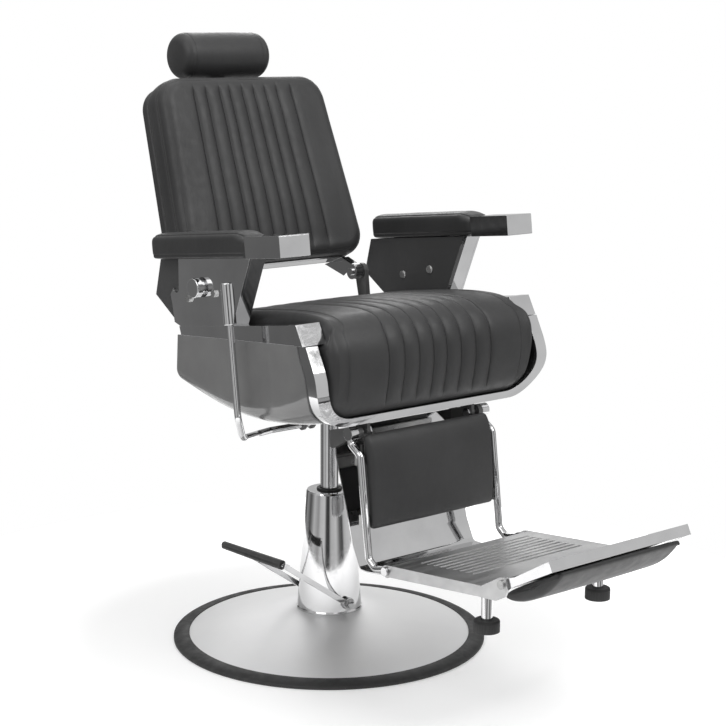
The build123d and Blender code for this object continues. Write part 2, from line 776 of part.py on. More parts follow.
with BuildPart() as leg_brackets:
    for sx in (-1, 1):
        x0 = 152.0 if sx > 0 else -163.0
        with BuildSketch(yz(x0)):
            with BuildLine():
                Polyline((-286, 503), (-279, 525), (-266, 521), (-201, 504), (-202, 470), (-213, 470), (-262, 498), (-286, 503))
            make_face()
            with Locations((leg_y, leg_z)):
                Circle(13)
            with Locations((leg_y, leg_z)):
                Circle(6 + run_clear, mode=Mode.SUBTRACT)
        extrude(amount=11)
keep(leg_brackets, "leg_brackets")

# two cross straps carry the pad's board, and a round bar ties the knuckles and the kick plate's lip
with BuildPart() as calf_bars:
    for y, z, back_off in ((-288.0, 462, 20), (-301.4, 345, 22)):
        with BuildSketch(Plane.XY.offset(z - 11)):
            with BuildLine():
                Polyline(
                    (-168, y - back_off), (-164.3, y - back_off), (-164.3, y), (164.3, y), (164.3, y - back_off),
                    (168, y - back_off), (168, y + 5), (-168, y + 5), (-168, y - back_off),
                )
            make_face()
        extrude(amount=22)
    with BuildSketch(yz(-168)):
        with Locations((-378, 258)):
            Circle(8)
    extrude(amount=336)
    add(calf_tubes.part, mode=Mode.SUBTRACT)
keep(calf_bars, "calf_bars")

with BuildPart() as calf_board:
    with BuildSketch(yz(-158)):
        with BuildLine():
            Polyline((-286.5, 490), (-304.5, 332), (-310.5, 332), (-292.5, 490), (-286.5, 490))
        make_face()
    extrude(amount=316)
keep(calf_board, "calf_board")

with BuildPart() as calf_pad:
    with BuildSketch(yz(-161)):
        with BuildLine():
            Polyline((-291.5, 502), (-311.2, 330))
            Spline((-311.2, 330), (-325, 329), (-333, 340), (-326, 440), (-318, 492), (-306, 512), (-294, 513), (-291.5, 502))
        make_face()
    extrude(amount=322)
keep(calf_pad, "calf_pad")

# ------------------------------------------------------------------ foot plate
cp, sp = math.cos(math.radians(plate_tilt)), math.sin(math.radians(plate_tilt))


def foot(s, t):
    # foot plate coordinates (s forward along the plate, t up from its axis) to (y, z)
    return (plate_y - s * cp + t * sp, plate_z + s * sp + t * cp)


plate_top = 12.0
plate_len = 255.0
tread = Plane(origin=(0, *foot(0, plate_top - 6)), x_dir=(1, 0, 0), z_dir=(0, sp, cp))
with BuildPart() as foot_plate:
    with BuildSketch(tread):
        with Locations((0, -(plate_len + 8) / 2)):
            Rectangle(362, plate_len - 16)
        for i in range(9):
            with Locations((8, -(44 + 17.5 * i))):
                SlotOverall(286, 8, mode=Mode.SUBTRACT)
    extrude(amount=6)
keep(foot_plate, "foot_plate")

lug_outline = [foot(250, -9), foot(292, -10), foot(316, 0), foot(324, 14), foot(320, 32), foot(303, 33), foot(257, plate_top), foot(250, plate_top)]
with BuildPart() as foot_frame:
    for x0 in (-185.0, 181.0):
        with BuildSketch(yz(x0)):
            with BuildLine():
                Polyline(foot(0, -10.5), foot(251, -9), foot(251, plate_top), foot(4, plate_top), foot(0, -10.5))
            make_face()
            with BuildLine():
                Polyline(*lug_outline, lug_outline[0])
            make_face()
            with Locations((plate_y, plate_z)):
                Circle(11.5)
            with Locations((plate_y, plate_z)):
                Circle(5 + run_clear, mode=Mode.SUBTRACT)
            with Locations(foot(flap_s, flap_t)):
                Circle(13)
            with Locations(foot(flap_s, flap_t)):
                Circle(5, mode=Mode.SUBTRACT)
        extrude(amount=4)
    with BuildSketch(yz(-181)):
        with BuildLine():
            Polyline(foot(plate_len, -9), foot(plate_len, plate_top), foot(plate_len - 4, plate_top), foot(plate_len - 4, -9), foot(plate_len, -9))
        make_face()
        with BuildLine():
            Polyline(foot(plate_len - 4, 1), foot(plate_len - 4, 6), foot(plate_len - 40, 6), foot(plate_len - 40, 1), foot(plate_len - 4, 1))
        make_face()
    extrude(amount=362)
keep(foot_frame, "foot_frame")

with BuildPart() as foot_legs:
    with BuildSketch(Plane.XY.offset(222)):
        with Locations((-146, -627), (146, -627)):
            Circle(10.5)
    extrude(amount=120)
    with BuildSketch(yz(-200)):
        with BuildLine():
            Polyline(foot(0, 1), foot(400, 1), foot(400, 200), foot(0, 200), foot(0, 1))
        make_face()
    extrude(amount=400, mode=Mode.SUBTRACT)
keep(foot_legs, "foot_legs")

with BuildPart() as foot_pads:
    with BuildSketch(Plane.XY.offset(209)):
        with Locations((-146, -627), (146, -627)):
            Circle(24)
    extrude(amount=22)
    fillet(foot_pads.edges().filter_by(GeomType.CIRCLE).group_by(Axis.Z)[-1], 4)
    with BuildSketch(Plane.XY.offset(222)):
        with Locations((-146, -627), (146, -627)):
            Circle(10.5)
    extrude(amount=12, mode=Mode.SUBTRACT)
keep(foot_pads, "foot_pads")

with BuildPart() as flap_pins:
    for sx in (-1, 1):
        with BuildSketch(yz(sx * 160)):
            with Locations(foot(flap_s, flap_t)):
                Circle(5)
        extrude(amount=sx * 25)
        with BuildSketch(yz(sx * 185)):
            with Locations(foot(flap_s, flap_t)):
                Circle(8)
        extrude(amount=sx * 4)
keep(flap_pins, "flap_pins")

# ------------------------------------------------------------------ toe flap
fy, fz = foot(flap_s, flap_t)
with BuildPart() as flap_frame:
    for x0 in (-180.6, 172.6):
        with BuildSketch(yz(x0)):
            with BuildLine():
                Polyline((-690, 316), (-700, 309), (-817, 371), (-808, 389), (-728, 341), (-708, 334), (-690, 316))
            make_face()
            with Locations((fy, fz)):
                Circle(12)
            with Locations((fy, fz)):
                Circle(5 + run_clear, mode=Mode.SUBTRACT)
        extrude(amount=8)
    with BuildSketch(yz(-172.6)):
        with BuildLine():
            Polyline((-817, 371), (-808, 389), (-803, 386), (-811, 370), (-817, 371))
        make_face()
    extrude(amount=345.2)
    with BuildSketch(yz(-172.6)):
        with BuildLine():
            Polyline((-716, 318), (-808.5, 367), (-811, 371.5), (-719, 323), (-716, 318))
        make_face()
    extrude(amount=345.2)
keep(flap_frame, "flap_frame")

with BuildPart() as flap_pad:
    with BuildSketch(yz(-158)):
        with BuildLine():
            Line((-708, 313.5), (-808, 366))
            Spline((-808, 366), (-816, 364), (-812, 352), (-780, 316), (-735, 291), (-700, 282), (-678, 284), (-680, 296), (-708, 313.5))
        make_face()
    extrude(amount=316)
keep(flap_pad, "flap_pad")
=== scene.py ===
import json
import math

import bpy
import numpy as np
from mathutils import Matrix, Vector


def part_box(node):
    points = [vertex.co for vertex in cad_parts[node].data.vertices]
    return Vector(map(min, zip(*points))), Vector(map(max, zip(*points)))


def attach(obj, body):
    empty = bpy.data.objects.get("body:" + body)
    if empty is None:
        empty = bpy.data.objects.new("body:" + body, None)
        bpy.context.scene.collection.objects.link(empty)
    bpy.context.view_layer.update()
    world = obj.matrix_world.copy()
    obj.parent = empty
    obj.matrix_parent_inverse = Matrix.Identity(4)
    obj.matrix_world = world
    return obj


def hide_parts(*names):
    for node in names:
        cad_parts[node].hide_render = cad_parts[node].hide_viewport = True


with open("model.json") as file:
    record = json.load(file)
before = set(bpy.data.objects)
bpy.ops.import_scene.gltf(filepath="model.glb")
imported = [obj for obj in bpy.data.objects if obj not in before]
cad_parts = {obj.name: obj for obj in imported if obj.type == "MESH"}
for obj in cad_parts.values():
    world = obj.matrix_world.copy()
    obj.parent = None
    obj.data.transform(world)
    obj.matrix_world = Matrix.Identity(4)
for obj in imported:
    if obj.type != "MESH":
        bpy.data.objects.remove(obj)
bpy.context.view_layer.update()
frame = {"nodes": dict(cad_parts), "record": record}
nodes = frame["nodes"]
scene = bpy.context.scene
scene.view_settings.view_transform = "Standard"
MM = 0.001


# ------------------------------------------------------------------ camera
fwd = Vector((0.63390, 0.75013, -0.18833)).normalized()
right = fwd.cross(Vector((0, 0, 1))).normalized()
up = right.cross(fwd).normalized()
roll = 0.0052
r2 = right * math.cos(roll) + up * math.sin(roll)
u2 = up * math.cos(roll) - right * math.sin(roll)
cam_data = bpy.data.cameras.new("camera")
cam_data.lens = 87.3
cam_data.sensor_width = 36.0
cam_data.clip_end = 60.0
cam = bpy.data.objects.new("camera", cam_data)
scene.collection.objects.link(cam)
cam.matrix_world = Matrix((
    (r2.x, u2.x, -fwd.x, -2.26004),
    (r2.y, u2.y, -fwd.y, -2.78150),
    (r2.z, u2.z, -fwd.z, 1.27404),
    (0, 0, 0, 1),
))
scene.camera = cam


# ------------------------------------------------------------------ materials
def start(name):
    m = bpy.data.materials.new(name)
    m.use_nodes = True
    t = m.node_tree
    t.nodes.clear()
    out = t.nodes.new("ShaderNodeOutputMaterial")
    b = t.nodes.new("ShaderNodeBsdfPrincipled")
    t.links.new(b.outputs["BSDF"], out.inputs["Surface"])
    return m, t, b


def coords(t, stretch=(1, 1, 1)):
    c = t.nodes.new("ShaderNodeTexCoord")
    g = t.nodes.new("ShaderNodeMapping")
    g.inputs["Scale"].default_value = stretch
    t.links.new(c.outputs["Object"], g.inputs["Vector"])
    return g.outputs["Vector"]


def noise(t, vec, scale, detail=3.0, rough=0.5):
    n = t.nodes.new("ShaderNodeTexNoise")
    n.inputs["Scale"].default_value = scale
    n.inputs["Detail"].default_value = detail
    n.inputs["Roughness"].default_value = rough
    t.links.new(vec, n.inputs["Vector"])
    return n.outputs["Fac"]


def cells(t, vec, scale, feature="F1"):
    n = t.nodes.new("ShaderNodeTexVoronoi")
    n.feature = feature
    n.inputs["Scale"].default_value = scale
    t.links.new(vec, n.inputs["Vector"])
    return n.outputs["Distance"]


def spread(t, fac, lo, hi, low=0.3, high=0.7):
    n = t.nodes.new("ShaderNodeMapRange")
    n.inputs["From Min"].default_value = low
    n.inputs["From Max"].default_value = high
    n.inputs["To Min"].default_value = lo
    n.inputs["To Max"].default_value = hi
    t.links.new(fac, n.inputs["Value"])
    return n.outputs["Result"]


def ramp(t, fac, stops):
    n = t.nodes.new("ShaderNodeValToRGB")
    e = n.color_ramp.elements
    while len(e) < len(stops):
        e.new(0.5)
    for k, (p, c) in zip(e, stops):
        k.position = p
        k.color = (c[0], c[1], c[2], 1)
    t.links.new(fac, n.inputs["Fac"])
    return n.outputs["Color"]


def bump(t, b, height, strength, distance, normal=None):
    n = t.nodes.new("ShaderNodeBump")
    n.inputs["Strength"].default_value = strength
    n.inputs["Distance"].default_value = distance
    t.links.new(height, n.inputs["Height"])
    if normal is not None:
        t.links.new(normal, n.inputs["Normal"])
    t.links.new(n.outputs["Normal"], b.inputs["Normal"])
    return n.outputs["Normal"]


def soft_edge(t, radius):
    n = t.nodes.new("ShaderNodeBevel")
    n.samples = 3
    n.inputs["Radius"].default_value = radius
    return n.outputs["Normal"]


def edge_worn(t, fac_color, worn, amount=(0.53, 0.62)):
    g = t.nodes.new("ShaderNodeNewGeometry")
    f = spread(t, g.outputs["Pointiness"], 0.0, 1.0, *amount)
    x = t.nodes.new("ShaderNodeMix")
    x.data_type = "RGBA"
    t.links.new(f, x.inputs["Factor"])
    t.links.new(fac_color, x.inputs["A"])
    x.inputs["B"].default_value = (*worn, 1)
    return x.outputs["Result"]


def vinyl(name, dark, light, rough=(0.40, 0.52), crease=0.5):
    m, t, b = start(name)
    v = coords(t)
    big = noise(t, v, 7.0, 4.0)
    c = ramp(t, big, [(0.3, dark), (0.7, light)])
    t.links.new(edge_worn(t, c, tuple(1.5 * k for k in light)), b.inputs["Base Color"])
    fine = noise(t, v, 60.0, 5.0)
    t.links.new(spread(t, fine, *rough), b.inputs["Roughness"])
    b.inputs["Specular IOR Level"].default_value = 0.42
    b.inputs["Sheen Weight"].default_value = 0.06
    b.inputs["Sheen Roughness"].default_value = 0.45
    pull = noise(t, coords(t, (1, 1, 0.5)), 26.0, 3.0, 0.45)
    n = bump(t, b, pull, crease, 0.0022)
    grain = cells(t, v, 780.0)
    n = bump(t, b, grain, 0.34, 0.00022, n)
    pores = noise(t, v, 2600.0, 2.0)
    bump(t, b, pores, 0.16, 0.0001, n)
    return m


def metal(name, dark, light, rough, stretch=(1, 1, 1), line=0.0, smear=14.0, radius=0.0007, pits=0.0):
    m, t, b = start(name)
    v = coords(t)
    b.inputs["Metallic"].default_value = 1.0
    c = ramp(t, noise(t, v, smear, 3.0), [(0.3, dark), (0.7, light)])
    t.links.new(c, b.inputs["Base Color"])
    s = coords(t, stretch)
    t.links.new(spread(t, noise(t, s, 90.0, 4.0, 0.6), *rough), b.inputs["Roughness"])
    n = soft_edge(t, radius)
    n = bump(t, b, noise(t, s, 420.0, 3.0), line, 0.0001, n)
    if pits:
        bump(t, b, noise(t, v, 900.0, 4.0), pits, 0.0002, n)
    return m


def painted(name, dark, light, rough, peel, radius=0.0008, coat=0.0, scale=160.0, worn=None):
    m, t, b = start(name)
    v = coords(t)
    c = ramp(t, noise(t, v, 11.0, 4.0), [(0.3, dark), (0.7, light)])
    if worn:
        c = edge_worn(t, c, worn)
    t.links.new(c, b.inputs["Base Color"])
    t.links.new(spread(t, noise(t, v, 55.0, 4.0), *rough), b.inputs["Roughness"])
    b.inputs["Coat Weight"].default_value = coat
    b.inputs["Coat Roughness"].default_value = 0.05
    n = soft_edge(t, radius)
    bump(t, b, noise(t, v, scale, 3.0), peel, 0.0003, n)
    return m


made = {}
made["vinyl"] = vinyl("vinyl", (0.026, 0.026, 0.0265), (0.037, 0.037, 0.0375))
made["chrome"] = metal("chrome", (0.60, 0.60, 0.605), (0.67, 0.67, 0.675), (0.03, 0.10), line=0.015)
made["zinc_steel"] = metal("zinc_steel", (0.42, 0.42, 0.42), (0.62, 0.62, 0.61), (0.24, 0.42), line=0.1, smear=40.0, pits=0.08)
made["cast_alloy"] = metal("cast_alloy", (0.50, 0.50, 0.505), (0.62, 0.62, 0.62), (0.30, 0.46), stretch=(0.04, 1, 1), line=0.14)
made["grey_panel"] = painted("grey_panel", (0.165, 0.165, 0.165), (0.195, 0.195, 0.194), (0.13, 0.22), 0.04, coat=0.35, scale=40.0, radius=0.0015)
made["rubber"] = painted("rubber", (0.010, 0.010, 0.010), (0.017, 0.017, 0.017), (0.55, 0.75), 0.35, scale=700.0, radius=0.0015, worn=(0.05, 0.05, 0.05))
made["black_steel"] = painted("black_steel", (0.012, 0.012, 0.012), (0.02, 0.02, 0.02), (0.28, 0.42), 0.2, coat=0.2, scale=420.0, worn=(0.10, 0.10, 0.10))
made["pump_iron"] = painted("pump_iron", (0.055, 0.055, 0.056), (0.08, 0.08, 0.08), (0.35, 0.55), 0.5, scale=260.0, worn=(0.2, 0.2, 0.2))


def disc_steel():
    """Spun satin steel: the polishing lines run round the lift column."""
    m, t, b = start("satin_steel")
    c = t.nodes.new("ShaderNodeTexCoord")
    s = t.nodes.new("ShaderNodeSeparateXYZ")
    t.links.new(c.outputs["Object"], s.inputs["Vector"])
    flat = t.nodes.new("ShaderNodeCombineXYZ")
    t.links.new(s.outputs["X"], flat.inputs["X"])
    t.links.new(s.outputs["Y"], flat.inputs["Y"])
    r = t.nodes.new("ShaderNodeVectorMath")
    r.operation = "LENGTH"
    t.links.new(flat.outputs["Vector"], r.inputs[0])
    ring = t.nodes.new("ShaderNodeCombineXYZ")
    t.links.new(r.outputs["Value"], ring.inputs["X"])
    b.inputs["Metallic"].default_value = 0.72
    turned = noise(t, ring.outputs["Vector"], 520.0, 4.0, 0.7)
    cloudy = noise(t, c.outputs["Object"], 5.0, 3.0)
    t.links.new(ramp(t, cloudy, [(0.3, (0.74, 0.74, 0.745)), (0.7, (0.79, 0.79, 0.79))]), b.inputs["Base Color"])
    t.links.new(spread(t, turned, 0.48, 0.60), b.inputs["Roughness"])
    bump(t, b, turned, 0.10, 0.0001, soft_edge(t, 0.001))
    return m


def board():
    m, t, b = start("plywood")
    v = coords(t, (1, 9, 30))
    g = noise(t, v, 6.0, 6.0, 0.65)
    t.links.new(ramp(t, g, [(0.25, (0.34, 0.22, 0.12)), (0.5, (0.52, 0.37, 0.22)), (0.75, (0.62, 0.46, 0.29))]), b.inputs["Base Color"])
    t.links.new(spread(t, g, 0.55, 0.75), b.inputs["Roughness"])
    bump(t, b, g, 0.25, 0.0006)
    return m


made["satin_steel"] = disc_steel()
made["plywood"] = board()
made["thread"] = painted("thread", (0.030, 0.030, 0.031), (0.055, 0.055, 0.056), (0.5, 0.7), 0.4, scale=1800.0, radius=0.0002)
made["piping"] = vinyl("piping", (0.016, 0.016, 0.016), (0.024, 0.024, 0.024), (0.34, 0.46), 0.15)

for part in frame["record"]["subparts"]:
    o = nodes[part["node"]]
    o.data.materials.clear()
    o.data.materials.append(made[part["material_slot"]])


# ------------------------------------------------------------------ mesh helpers
def add_mesh(name, verts, faces, body, material="vinyl"):
    me = bpy.data.meshes.new(name)
    me.from_pydata([tuple(float(k) for k in v) for v in verts], [], faces)
    me.validate()
    me.update()
    me.shade_smooth()
    me.materials.append(made[material])
    o = bpy.data.objects.new(name, me)
    scene.collection.objects.link(o)
    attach(o, body)
    return o


def chaikin(points, turns=3):
    p = np.array(points, float)
    for _ in range(turns):
        q = np.roll(p, -1, axis=0)
        p = np.stack([0.75 * p + 0.25 * q, 0.25 * p + 0.75 * q], 1).reshape(-1, 2)
    return p


def resample(points, count):
    p = np.vstack([points, points[:1]])
    d = np.r_[0, np.cumsum(np.linalg.norm(np.diff(p, axis=0), axis=1))]
    s = np.linspace(0, d[-1], count + 1)[:-1]
    return np.stack([np.interp(s, d, p[:, 0]), np.interp(s, d, p[:, 1])], 1)


def outward(loop):
    t = np.roll(loop, -1, axis=0) - np.roll(loop, 1, axis=0)
    t /= np.linalg.norm(t, axis=1)[:, None]
    n = np.stack([t[:, 1], -t[:, 0]], 1)
    x, y = loop[:, 0], loop[:, 1]
    area = np.sum(x * np.roll(y, -1) - np.roll(x, -1) * y)
    return n if area > 0 else -n


def channel_depth(x, grooves, depth, lead=11.0):
    """0 on top of each roll, -depth at the sewn lines."""
    x = np.asarray(x, float)
    g = np.array(grooves, float)
    out = np.zeros_like(x)
    for a, b in zip(g[:-1], g[1:]):
        k = (x >= a) & (x <= b)
        t = (x[k] - a) / (b - a)
        out[k] = -depth * (1 - np.sqrt(np.clip(4 * t * (1 - t), 0, 1)))
    left, rightside = x < g[0], x > g[-1]
    out[left] = -depth * np.exp(-np.sqrt((g[0] - x[left]) / lead) * 2.2)
    out[rightside] = -depth * np.exp(-np.sqrt((x[rightside] - g[-1]) / lead) * 2.2)
    return out


def stations(half, radius, grooves=(), step=6.0, ends=12):
    x = list(np.arange(-(half - radius), half - radius + 0.1, step))
    x += [s * (half - radius + radius * math.sin(k / ends * math.pi / 2)) for s in (-1, 1) for k in range(1, ends + 1)]
    for g in grooves:
        x += [g + d for d in (-6, -3.6, -2.2, -1.2, -0.5, 0, 0.5, 1.2, 2.2, 3.6, 6)]
    x = sorted(x)
    keep = [x[0]]
    for v in x[1:]:
        if v - keep[-1] > 0.3:
            keep.append(v)
    return np.array(keep)


def loft(name, body, loop, half, radius, place, grooves=(), depth=0.0, mask=None, swell=None, seams=(), count=200, dome=3.0, belly=0.0, waves=0.0):
    """A stuffed form: the closed loop is carried along one axis, its ends roll over with the given radius and close with a slightly domed cap.
    place(x, loop) gives the points in mm. Seams are (distance from the end, depth, width) creases that go round the loop."""
    base = resample(chaikin(loop), count)
    n = outward(base)
    xs = stations(half, radius, grooves)
    m = np.ones(count) if mask is None else mask(base, n)
    rings = []
    for x in xs:
        over = max(0.0, abs(x) - (half - radius))
        inset = radius - math.sqrt(max(0.0, radius * radius - over * over))
        d = -inset + belly * (1 - (x / half) ** 2)
        push = np.full(count, d)
        if len(grooves):
            push = push + channel_depth(np.array([x]), grooves, depth)[0] * m
        if swell is not None:
            push = push + swell(x, base)
        for away, deep, wide in seams:
            push = push - deep * math.exp(-(((half - away) - abs(x)) / wide) ** 2)
        if waves:
            push = push + waves * np.sin(x / 23.0 + base[:, 0] / 31.0) * np.sin(base[:, 1] / 37.0 + x / 61.0)
        rings.append(place(x, base + n * push[:, None]))
    verts = np.vstack(rings)
    faces = []
    for i in range(len(rings) - 1):
        for j in range(count):
            k = (j + 1) % count
            faces.append((i * count + j, i * count + k, (i + 1) * count + k, (i + 1) * count + j))
    for end, sign in ((0, -1), (len(rings) - 1, 1)):
        ring_loop = base - n * radius
        centre = ring_loop.mean(0)
        prev = list(range(end * count, (end + 1) * count))
        for f in (0.86, 0.68, 0.48, 0.26):
            pts = place(xs[end] + sign * dome * (1 - f * f), centre + (ring_loop - centre) * f)
            first = len(verts)
            verts = np.vstack([verts, pts])
            cur = list(range(first, first + count))
            for j in range(count):
                k = (j + 1) % count
                faces.append((prev[j], prev[k], cur[k], cur[j]))
            prev = cur
        verts = np.vstack([verts, place(xs[end] + sign * dome, centre[None, :])])
        for j in range(count):
            faces.append((prev[j], prev[(j + 1) % count], len(verts) - 1))
    o = add_mesh(name, verts * MM, faces, body)
    tidy(o)
    return o, xs, base, n, rings


def tidy(o):
    import bmesh

    bm = bmesh.new()
    bm.from_mesh(o.data)
    bmesh.ops.remove_doubles(bm, verts=bm.verts, dist=1e-6)
    bmesh.ops.recalc_face_normals(bm, faces=bm.faces)
    bm.to_mesh(o.data)
    bm.free()
    o.data.shade_smooth()


def stitches(name, lines, body, pitch=4.2, length=3.1, r=0.42):
    """Rows of single sewn stitches, each a little spindle lying along its line. Points in mm."""
    verts, faces = [], []
    for line in lines:
        line = np.asarray(line, float)
        d = np.r_[0, np.cumsum(np.linalg.norm(np.diff(line, axis=0), axis=1))]
        if d[-1] < 2 * pitch:
            continue
        s = np.arange(pitch / 2, d[-1] - pitch / 2, pitch)
        at = lambda q: np.array([np.interp(q, d, line[:, k]) for k in range(3)])
        for q in s:
            a, b = at(q - length / 2), at(q + length / 2)
            w = b - a
            w /= np.linalg.norm(w) + 1e-9
            u = np.cross(w, (0.31, 0.52, 0.8))
            u /= np.linalg.norm(u)
            v = np.cross(w, u)
            first = len(verts)
            for f, k in ((0.0, 0.3), (0.25, 1.0), (0.75, 1.0), (1.0, 0.3)):
                c = a + (b - a) * f
                for e in range(5):
                    g = e / 5 * 2 * math.pi
                    verts.append(c + (u * math.cos(g) + v * math.sin(g)) * r * k)
            for i in range(3):
                for e in range(5):
                    g = (e + 1) % 5
                    faces.append((first + i * 5 + e, first + i * 5 + g, first + i * 5 + 5 + g, first + i * 5 + 5 + e))
            faces.append(tuple(first + e for e in (4, 3, 2, 1, 0)))
            faces.append(tuple(first + 15 + e for e in range(5)))
    return add_mesh(name, np.array(verts) * MM, faces, body, "thread")


def tube(name, line, r, body, closed=True, sides=10, material="piping"):
    """A welt of sewn piping along a closed or open line. Points in mm."""
    p = np.asarray(line, float)
    t = (np.roll(p, -1, axis=0) - np.roll(p, 1, axis=0)) if closed else np.gradient(p, axis=0)
    t /= np.linalg.norm(t, axis=1)[:, None]
    ref = np.array((0.3, 0.5, 0.81))
    verts, faces = [], []
    u = np.cross(t[0], ref)
    for i in range(len(p)):
        u = u - t[i] * np.dot(u, t[i])
        u /= np.linalg.norm(u)
        v = np.cross(t[i], u)
        for e in range(sides):
            g = e / sides * 2 * math.pi
            verts.append(p[i] + (u * math.cos(g) + v * math.sin(g)) * r)
    last = len(p) if closed else len(p) - 1
    for i in range(last):
        k = (i + 1) % len(p)
        for e in range(sides):
            g = (e + 1) % sides
            faces.append((i * sides + e, i * sides + g, k * sides + g, k * sides + e))
    if not closed:
        faces.append(tuple(range(sides))[::-1])
        faces.append(tuple((len(p) - 1) * sides + e for e in range(sides)))
    return add_mesh(name, np.array(verts) * MM, faces, body, material)


def along_x(x, loop):
    return np.stack([np.full(len(loop), x), loop[:, 0], loop[:, 1]], 1)


def smooth(a, b, v):
    t = np.clip((np.asarray(v, float) - a) / (b - a), 0, 1)
    return t * t * (3 - 2 * t)


# ------------------------------------------------------------------ seat cushion
seat_loop = [(104, 609.5), (105, 690), (84, 705), (0, 721), (-120, 737), (-240, 746), (-296, 737), (-329, 700), (-337, 650), (-331, 600), (-321, 566), (-303, 550), (-282, 549), (-264, 560), (-257, 580), (-256, 609.5)]
seat_grooves = [-122, -85, -49, -13, 21, 58, 96, 134]


def seat_mask(base, n):
    top = smooth(0.1, 0.75, n[:, 1]) + smooth(0.15, 0.75, -n[:, 0])
    keep = np.clip(top, 0, 1) * smooth(100, 70, base[:, 0])
    return keep * smooth(566, 590, base[:, 1])


def seat_swell(x, base):
    w = 1 - (x / 246.0) ** 2
    top = smooth(690, 735, base[:, 1])
    front = smooth(-300, -332, base[:, 0])
    return top * (5.0 * w - 2.0) + front * 3.0 * w - 0.6


def seat_place(x, loop):
    """The lower front corners are rounded as the bright trim is that goes round them."""
    z = loop[:, 1].copy()
    over = max(0.0, abs(x) - 193.0)
    rise = 54.0 - math.sqrt(max(0.0, 2916.0 - min(over, 53.0) ** 2))
    near = smooth(-205, -262, loop[:, 0])
    z = z + rise * near * np.clip(1 - (z - 549) / 150.0, 0, 1)
    free = smooth(-263, -292, loop[:, 0]) * np.maximum(smooth(706, 680, loop[:, 1]), smooth(-298, -318, loop[:, 0]))
    return np.stack([x * (1 + 0.072 * free * abs(x) / 245.5), loop[:, 0], z], 1)


seat, xs, base, n, rings = loft("seat_pad", "seat", seat_loop, 245.5, 17.0, seat_place, seat_grooves, 5.5, seat_mask, seat_swell,
                                seams=((30.0, 2.4, 2.6), (18.5, 2.0, 2.0)), count=230, dome=2.0, waves=0.35)
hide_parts("seat_cushion")
seat_rows = []
for g in (-211.0, 211.0):
    i = int(np.argmin(np.abs(xs - g)))
    r = rings[i]
    k = (base[:, 1] > 580) & (n[:, 0] < 0.3) & (base[:, 0] < 90)
    pick = np.where(k)[0]
    r3 = r[pick]
    n3 = n[pick]
    jump = np.where(np.linalg.norm(np.diff(r3, axis=0), axis=1) > 20)[0]
    if len(jump):
        r3 = np.roll(r3, -(jump[0] + 1), axis=0)
        n3 = np.roll(n3, -(jump[0] + 1), axis=0)
    line = r3 + np.stack([np.zeros(len(n3)), n3[:, 0], n3[:, 1]], 1) * 0.25
    seat_rows.append(line)
stitches("seat_stitches", seat_rows, "seat")


# ------------------------------------------------------------------ back cushion
tilt = math.radians(20.1)
b_o = np.array((0.0, 152.0, 787.0))
b_u = np.array((0.0, math.sin(tilt), math.cos(tilt)))
b_n = np.array((0.0, -math.cos(tilt), math.sin(tilt)))
b_x = np.array((1.0, 0.0, 0.0))
H, W0, W1, R = 405.0, 240.0, 213.0, 56.0
back_grooves = [-144, -111, -75, -47, -13, 19, 51, 84, 125]


def edge_spaced(count, lean):
    """-1..1, closer together towards both ends."""
    t = np.linspace(-1, 1, count)
    return np.sign(t) * (1 - (1 - np.abs(t)) ** lean)


def back_xy(a, b):
    """(-1..1, -1..1) to the rounded outline: across, up and the distance in from the edge."""
    hw, hh = 226.5, H / 2
    x, y = a * hw, b * hh
    px, py = (np.abs(x) - (hw - R)) / R, (np.abs(y) - (hh - R)) / R
    c = (px > 0) & (py > 0)
    qx, qy = np.where(c, px * np.sqrt(1 - np.clip(py, 0, 1) ** 2 / 2), px), np.where(c, py * np.sqrt(1 - np.clip(px, 0, 1) ** 2 / 2), py)
    x = np.where(c, np.sign(x) * (hw - R + R * qx), x)
    y = np.where(c, np.sign(y) * (hh - R + R * qy), y)
    e = np.where(c, R * (1 - np.sqrt(np.clip(qx * qx + qy * qy, 0, 1))), np.minimum(hw - np.abs(x), hh - np.abs(y)))
    s = y + hh
    x = x * ((W0 + (W1 - W0) * s / H) / 226.5)
    s = s + 4.0 * smooth(240, 400, s)
    return x, s, np.maximum(e, 0)


ga = sorted(list(edge_spaced(90, 1.5)) + [g / 226.5 + d / 226.5 for g in back_grooves for d in (-6, -3.6, -2.0, -1.0, -0.4, 0, 0.4, 1.0, 2.0, 3.6, 6)])
keep_a = [ga[0]]
for v in ga[1:]:
    if v - keep_a[-1] > 0.0014 or v == 1.0:
        keep_a.append(v)
ga = np.array(keep_a)
gb = edge_spaced(120, 1.5)
A, B = np.meshgrid(ga, gb)
X, S, E = back_xy(A, B)
roll_r = 27.0
far = np.minimum(E, roll_r)
drop = roll_r - np.sqrt(np.maximum(0, roll_r ** 2 - (roll_r - far) ** 2))
fan = 1 + 0.05 * (S / H)
chan = channel_depth((A * 226.5).ravel(), back_grooves, 6.6, 14.0).reshape(A.shape)
fade = smooth(6, 46, E) * smooth(2, 40, S) * smooth(H - 4, H - 40, S)
crown = 8.0 * (1 - (X / 235.0) ** 2) * (1 - ((S - H / 2) / (H / 2)) ** 4) - 3.0
lumbar = 3.0 * np.exp(-(((S - 120) / 90.0) ** 2)) * (1 - (X / 235.0) ** 2)
border = -0.6 * np.exp(-(((E - 9.0) / 2.2) ** 2))
N = -drop + crown * smooth(0, 70, E) + lumbar + chan * fade + border + 0.35 * np.sin(X / 27.0 + S / 41.0) * np.sin(S / 29.0)
rows, cols = A.shape
P = b_o + X[..., None] * b_x + S[..., None] * b_u + N[..., None] * b_n
verts = list(P.reshape(-1, 3))
faces = [(r * cols + c, r * cols + c + 1, (r + 1) * cols + c + 1, (r + 1) * cols + c) for r in range(rows - 1) for c in range(cols - 1)]
